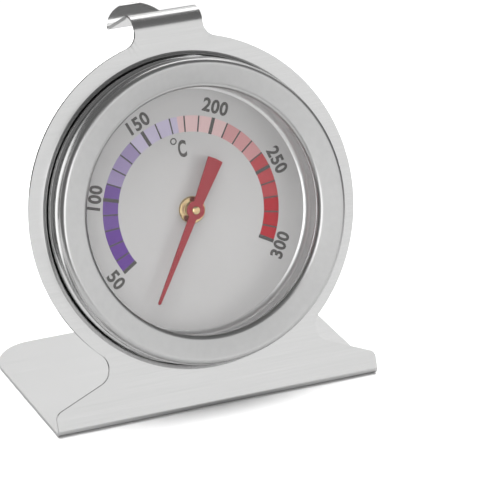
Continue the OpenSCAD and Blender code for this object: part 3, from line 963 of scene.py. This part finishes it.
class THERMO_OT_print(bpy.types.Operator):
    """Print the scale: coloured band, ticks, numbers and the degree sign"""

    bl_idname = "thermo.print"
    bl_label = "Print the scale"

    def execute(self, context):
        d = context.scene.thermometer_dial
        self.print_band(d, context.scene.thermometer_finish)
        self.print_ticks(d)
        self.print_numbers(d)
        return {"FINISHED"}

    def angle_at(self, d, reading):
        """Where a reading stands on the dial, from the right."""
        return d.first - d.step * (reading - 50) / 50

    def print_band(self, d, look):
        cold, hot = Vector(look.cold_colour), Vector(look.hot_colour)
        lilac, rose = Vector((0.57, 0.52, 0.68)), Vector((0.76, 0.54, 0.54))
        # each zone's first reading and colour
        zones = {
            50: cold,
            80: cold.lerp(lilac, 0.08),
            110: cold.lerp(lilac, 0.50),
            140: lilac,
            175: rose,
            210: rose.lerp(hot, 0.42),
            240: rose.lerp(hot, 0.90),
            270: hot,
        }
        bm = bmesh.new()
        ink = bm.loops.layers.float_color.new("zone_colour")
        thick = mm(d.ink)
        for low, high in zip(zones, [*zones, 300][1:]):
            before = set(bm.faces)
            a, b = self.angle_at(d, low), self.angle_at(d, high)
            ends = [bm.verts.new((mm(r), 0, thick - mm(d.face))) for r in (d.band_inner, d.band_outer)]
            edge = bm.edges.new(ends)
            about_z(bm, ends, b)
            steps = max(6, round((high - low) * 0.9))
            bmesh.ops.spin(bm, geom=[*ends, edge], cent=(0, 0, 0), axis=(0, 0, 1), angle=a - b, steps=steps)
            raise_faces(bm, list(set(bm.faces) - before), -thick * BAND_DEPTH)
            for f in set(bm.faces) - before:
                for loop in f.loops:
                    loop[ink] = (*zones[low], 1)
        bmesh.ops.recalc_face_normals(bm, faces=bm.faces)
        shown(bm, "scale_band", ["zone ink"], "dial_face")

    def print_ticks(self, d):
        bm = bmesh.new()
        inner, outer, thick = mm(d.band_inner), mm(d.band_outer), mm(d.ink)
        low, high = TICK_SPAN
        middle = ((inner + outer) / 2, 0, thick * (low + high) / 2 - mm(d.face))
        for reading in range(50, 301, 10):
            main = reading % 50 == 0
            wide, over = (mm(d.main_tick), MAIN_TICK_OVER) if main else (mm(d.fine_tick), 0.0)
            # the end ticks stand just inside the band
            aside = {50: -1, 300: 1}.get(reading, 0) * wide / 2 / outer
            box = bmesh.ops.create_cube(bm, size=1.0)["verts"]
            bmesh.ops.scale(bm, vec=(outer - inner + 2 * over, wide, thick * (high - low)), verts=box)
            bmesh.ops.translate(bm, vec=middle, verts=box)
            about_z(bm, box, self.angle_at(d, reading) + aside)
        shown(bm, "scale_ticks", ["dark ink"], "dial_face")

    def print_numbers(self, d):
        # each number, its distance and angle from the axis, and how far it is turned from that angle
        places = [
            ("50", 17.9, 211.9, 90),
            ("100", 17.6, 163.9, -90),
            ("150", 17.7, 114.6, -90),
            ("200", 18.0, 67.5, -90),
            ("250", 17.8, 19.3, -90),
            ("300", 17.45, 330.3, 90),
        ]
        bm = bmesh.new()
        high, thick = mm(d.number_height), mm(d.ink)
        for text, radius, at, turn in places:
            spot = Matrix.Rotation(math.radians(at), 3, "Z") @ Vector((radius, 0, 0))
            self.add_text(bm, d, text, spot, at + turn, high)
        # the letter of the unit is tall and narrow, and its degree sign is a small ring
        self.add_text(bm, d, "C", Vector((-0.15, 10.55, 0)), 0, high * 1.22, 0.62)
        mark = (-1.55, 12.0, thick * 0.5 - mm(d.face))
        edges = [e for radius in (0.38, 0.6) for e in circle(bm, radius, 32, mark)[1]]
        raise_faces(bm, bmesh.ops.bridge_loops(bm, edges=edges)["faces"], thick)
        bmesh.ops.recalc_face_normals(bm, faces=bm.faces)
        shown(bm, "scale_numbers", ["dark ink"], "dial_face")

    def add_text(self, bm, d, text, spot, turn, high, narrow=1.0):
        """Sets a number in plain letters, makes it a mesh and lays it on the dial."""
        curve = bpy.data.curves.new("number", "FONT")
        curve.body = text
        curve.align_x, curve.align_y = "CENTER", "CENTER"
        curve.size = 1.0
        curve.offset = LETTER_WEIGHT
        curve.space_character = LETTER_SPACING
        curve.resolution_u = 6
        curve.extrude = 0.5
        holder = linked("number", curve)
        bpy.context.view_layer.update()
        shape = bpy.data.meshes.new_from_object(holder.evaluated_get(bpy.context.evaluated_depsgraph_get()))
        bpy.data.objects.remove(holder)
        bpy.data.curves.remove(curve)
        xs, ys = ([v.co[i] for v in shape.vertices] for i in (0, 1))
        size = high / (max(ys) - min(ys))
        shape.transform(
            Matrix.Translation((spot.x, spot.y, mm(d.ink) * 0.6 - mm(d.face)))
            @ Matrix.Rotation(math.radians(turn), 4, "Z")
            @ Matrix.Diagonal((size * d.number_squeeze * narrow, size, mm(d.ink), 1))
            @ Matrix.Translation((-(max(xs) + min(xs)) / 2, -(max(ys) + min(ys)) / 2, 0))
        )
        bm.from_mesh(shape)
        bmesh.ops.remove_doubles(bm, verts=bm.verts, dist=NEAR / 10)
        bpy.data.meshes.remove(shape)


class THERMO_OT_pointer(bpy.types.Operator):
    """Cut the pointer and turn the brass parts at its centre"""

    bl_idname = "thermo.pointer"
    bl_label = "Make the pointer"

    def execute(self, context):
        p = context.scene.thermometer_pointer
        face, r = -mm(context.scene.thermometer_dial.face), mm(p.spindle_radius)
        self.cut_pointer(p)

        def spindle(bm):
            end, groove, seat = -10.9, r - 0.25, -0.1
            line = Line(bm, 0, end).to((r - 0.1, end), (r, end + 0.1), (r, -10.6), (groove, -10.6))
            line.to((groove, -10.2), (r, -10.2), (r, seat), (0.5, seat), (0.5, 0.2), (0.74, 0.2))
            return line.turn(0.54, 0.26, 74, 8).to((0, 0.5))

        def bushing(bm):
            gap, tube, flange, top = r + 0.05, 1.5, 2.3, -1.5
            line = Line(bm, gap, -5.0).to((tube, -5.0), (tube, face), (flange, face))
            line.to((flange + 0.05, face + 0.05), (flange + 0.05, top))
            line.turn(flange - 0.2, top, 90, 8)
            return line.to((1.6, -1.25), (1.45, -1.2), (1.35, -0.97), (gap, -0.95))

        boss = straight((r, -0.75), (1.05, -0.75), (1.2, -0.6), (1.2, -0.1), (r, -0.1))
        brass = ("turned brass", "brass")
        moving = {"body": "pointer_set", "sharp": 40.0}
        turned_piece(spindle, "spindle_stem", *brass, "spindle", 64, close=False, **moving)
        turned_piece(boss, "pointer_boss", *brass, "pointer_hub", 64, **moving)
        turned_piece(bushing, "centre_bushing", *brass, "dial_bushing", 80, sharp=40.0)
        return {"FINISHED"}

    def meet(self, radius, x0, y0, x1, y1, way):
        """Where a straight edge crosses the eye's circle, on its way in (-1) or out (1)."""
        dx, dy = x1 - x0, y1 - y0
        a, b, c = dx * dx + dy * dy, 2 * (x0 * dx + y0 * dy), x0 * x0 + y0 * y0 - radius * radius
        t = (-b + way * math.sqrt(b * b - 4 * a * c)) / (2 * a)
        return x0 + t * dx, y0 + t * dy

    def cut_pointer(self, p):
        eye, thick = mm(p.hub_radius), mm(p.thick)
        needle, tail = mm(p.needle), mm(p.tail)
        hub, tip, end = mm(p.hub_half), mm(p.tip_half), mm(p.tail_half)
        bore, under, blunt, point = 0.52, -0.1, 0.1, needle - 0.2
        back = self.meet(eye, -tail, end, 0, hub, -1)
        front = self.meet(eye, 0, hub, point, tip, 1)
        sweep = math.degrees(math.atan2(back[1], back[0]) - math.atan2(front[1], front[0]))
        bm = bmesh.new()
        line = Line(bm, needle, -blunt).to((needle, blunt), (point, tip), front)
        line.turn(0, 0, sweep, 10)
        line.to((-tail, end), (-tail - 0.12, 0), (-tail, -end), (back[0], -back[1]))
        line.turn(0, 0, sweep, 10).to((point, -tip)).close()
        circle(bm, bore, 36)
        fill(bm)
        raise_faces(bm, bm.faces[:], thick)
        bmesh.ops.recalc_face_normals(bm, faces=bm.faces)
        bmesh.ops.translate(bm, vec=(0, 0, under), verts=bm.verts)
        about_z(bm, bm.verts, p.needle_angle)
        pointer = shown(
            bm, "needle_blade", ["pointer paint"], "pointer_red", ["pointer"], body="pointer_set", sharp=40.0
        )
        soften(pointer, 0.05, 3)


class THERMO_OT_movement(bpy.types.Operator):
    """Finish the movement inside the case, which is shown as designed"""

    bl_idname = "thermo.movement"
    bl_label = "Finish the movement"

    def execute(self, context):
        looks = {
            "rolled strip": ("movement_frame",),
            "turned brass": ("bushing_nut", "rear_bush", "coil_collar"),
            "bimetal strip": ("bimetal_coil",),
            "plated steel": ("lock_washer", "anchor_rivet", "thrust_washer", "retaining_clip"),
        }
        for look, names in looks.items():
            for name in names:
                mesh = frame["nodes"][name].data
                mesh.materials.clear()
                mesh.materials.append(finish(look))
        return {"FINISHED"}


class THERMO_OT_stage(bpy.types.Operator):
    """Lay the floor, hang the soft lights and place the camera"""

    bl_idname = "thermo.stage"
    bl_label = "Set the stage"

    def execute(self, context):
        s = context.scene.thermometer_stage
        self.lay_floor(s)
        self.light_room(context.scene)
        # each light's way from the object, its distance, and its width and height in metres
        self.hang("front softbox", (0.40, -0.88, 0.24), 0.75, (1.10, 0.64), s.key)
        self.hang("top softbox", (0.36, 0.54, 0.76), 0.60, (0.50, 0.22), s.top)
        self.hang("rear softbox", (0.60, 0.69, 0.40), 0.80, (0.80, 0.36), s.rear)
        self.hang("left softbox", (-0.41, -0.83, 0.38), 0.70, (0.34, 0.48), s.side)
        self.hang("front lamp", (0.64, -0.77, -0.03), 0.75, (0.34, 0.30), s.lamp, mirrored=False)
        self.hang("floor lamp", (0.02, 0.20, 0.98), 0.80, (0.90, 0.90), s.wash, mirrored=False)
        self.place_camera(context.scene, s)
        return {"FINISHED"}

    def lay_floor(self, s):
        bm = bmesh.new()
        circle(bm, s.floor_radius, 96, (0, 0, FLOOR_LEVEL), cap=True)
        linked("floor", mesh_of(bm, "floor", [self.pale_floor()]))

    def pale_floor(self):
        """Nearly white, and quieter where the metal mirrors it."""
        white, tree, seen, _ = start_finish("pale floor")
        quiet = add_node(tree, "BsdfPrincipled")
        for shader, level in ((seen, 0.93), (quiet, 0.42)):
            give(tree, shader, {"Base Color": (level, level, level, 1), "Roughness": 0.7})
        by_ray(tree, "Is Glossy Ray", seen, quiet, tree.nodes["Material Output"])
        return white

    def light_room(self, scene):
        """White behind the object, and a dim room for the metal to mirror."""
        room = bpy.data.worlds.new("room")
        room.use_nodes = True
        scene.world = room
        tree = room.node_tree
        tree.nodes.clear()
        where = add_node(tree, "TexCoord").outputs["Generated"]
        height = add_node(tree, "SeparateXYZ", {0: where}).outputs[2]
        ramp = add_node(tree, "ValToRGB", {0: spread(tree, height, -1.0, 1.0, 0.0, 1.0)})
        # how bright the room is from its lowest to its highest point
        low, *between, high = [(0.0, 0.12), (0.46, 0.12), (0.54, 0.24), (0.70, 0.19), (1.0, 0.16)]
        stops = ramp.color_ramp.elements
        for stop, (at, level) in zip(stops, (low, high)):
            stop.position, stop.color = at, (level, level, level, 1)
        for at, level in between:
            stops.new(at).color = (level, level, level, 1)
        lit = add_node(tree, "Background", {"Color": ramp.outputs[0], "Strength": 1.0})
        seen = add_node(tree, "Background", {"Color": (1, 1, 1, 1), "Strength": 1.05})
        by_ray(tree, "Is Camera Ray", lit, seen, add_node(tree, "OutputWorld"))

    def hang(self, name, direction, distance, size, level, mirrored=True):
        """A rectangular soft light that faces the object. level is how bright its panel looks."""
        lamp = bpy.data.lights.new(name, "AREA")
        lamp.shape = "RECTANGLE"
        lamp.size, lamp.size_y = size
        lamp.energy = level * math.pi * size[0] * size[1]
        holder = linked(name, lamp)
        way = Vector(direction).normalized()
        holder.location = way * distance + Vector((0, 0, MIDDLE_HEIGHT))
        holder.rotation_mode = "QUATERNION"
        holder.rotation_quaternion = way.to_track_quat("Z", "Y")
        holder.visible_camera = False
        holder.visible_glossy = holder.visible_transmission = mirrored

    def place_camera(self, scene, s):
        az, el = s.azimuth, s.elevation
        back = Vector((math.sin(az) * math.cos(el), -math.cos(az) * math.cos(el), math.sin(el)))
        right = Vector((math.cos(az), math.sin(az), 0))
        lens = bpy.data.cameras.new("camera")
        lens.lens, lens.sensor_width = s.lens, 36.0
        lens.clip_start, lens.clip_end = 0.01, 50.0
        camera = linked("camera", lens)
        place = Matrix((right, back.cross(right), back)).transposed().to_4x4()
        place.translation = Vector(s.aim) + back * s.distance
        camera.matrix_world = place
        scene.camera = camera
        scene.view_settings.view_transform = "Standard"


class THERMO_PT_panel(bpy.types.Panel):
    """Sizes, colours and the steps that build the thermometer"""

    bl_idname = "THERMO_PT_panel"
    bl_label = "Oven thermometer"
    bl_space_type = "VIEW_3D"
    bl_region_type = "UI"
    bl_category = "Thermometer"

    def draw(self, context):
        layout = self.layout
        for step in STEPS:
            layout.operator(step.bl_idname)
        for name, group in SIZES.items():
            box = layout.box()
            box.label(text=group.__doc__)
            for prop in group.__annotations__:
                box.prop(getattr(context.scene, name), prop)


SIZES = {
    "thermometer_stand": StandSizes,
    "thermometer_case": CaseSizes,
    "thermometer_dial": DialSizes,
    "thermometer_pointer": PointerSizes,
    "thermometer_finish": Finishes,
    "thermometer_stage": StageSizes,
}
STEPS = [
    THERMO_OT_stand,
    THERMO_OT_cup,
    THERMO_OT_bezel,
    THERMO_OT_window,
    THERMO_OT_dial,
    THERMO_OT_print,
    THERMO_OT_pointer,
    THERMO_OT_movement,
    THERMO_OT_stage,
]


def register():
    for name, group in SIZES.items():
        bpy.utils.register_class(group)
        setattr(bpy.types.Scene, name, bpy.props.PointerProperty(type=group))
    for step in STEPS:
        bpy.utils.register_class(step)
    bpy.utils.register_class(THERMO_PT_panel)


def unregister():
    bpy.utils.unregister_class(THERMO_PT_panel)
    for step in reversed(STEPS):
        bpy.utils.unregister_class(step)
    for name, group in SIZES.items():
        delattr(bpy.types.Scene, name)
        bpy.utils.unregister_class(group)


def main():
    register()
    bpy.ops.thermo.stand()
    bpy.ops.thermo.cup()
    bpy.ops.thermo.bezel()
    bpy.ops.thermo.window()
    bpy.ops.thermo.dial()
    bpy.ops.thermo.print()
    bpy.ops.thermo.pointer()
    bpy.ops.thermo.movement()
    bpy.ops.thermo.stage()
    bpy.context.view_layer.update()
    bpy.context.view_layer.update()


if __name__ == "__main__":
    main()
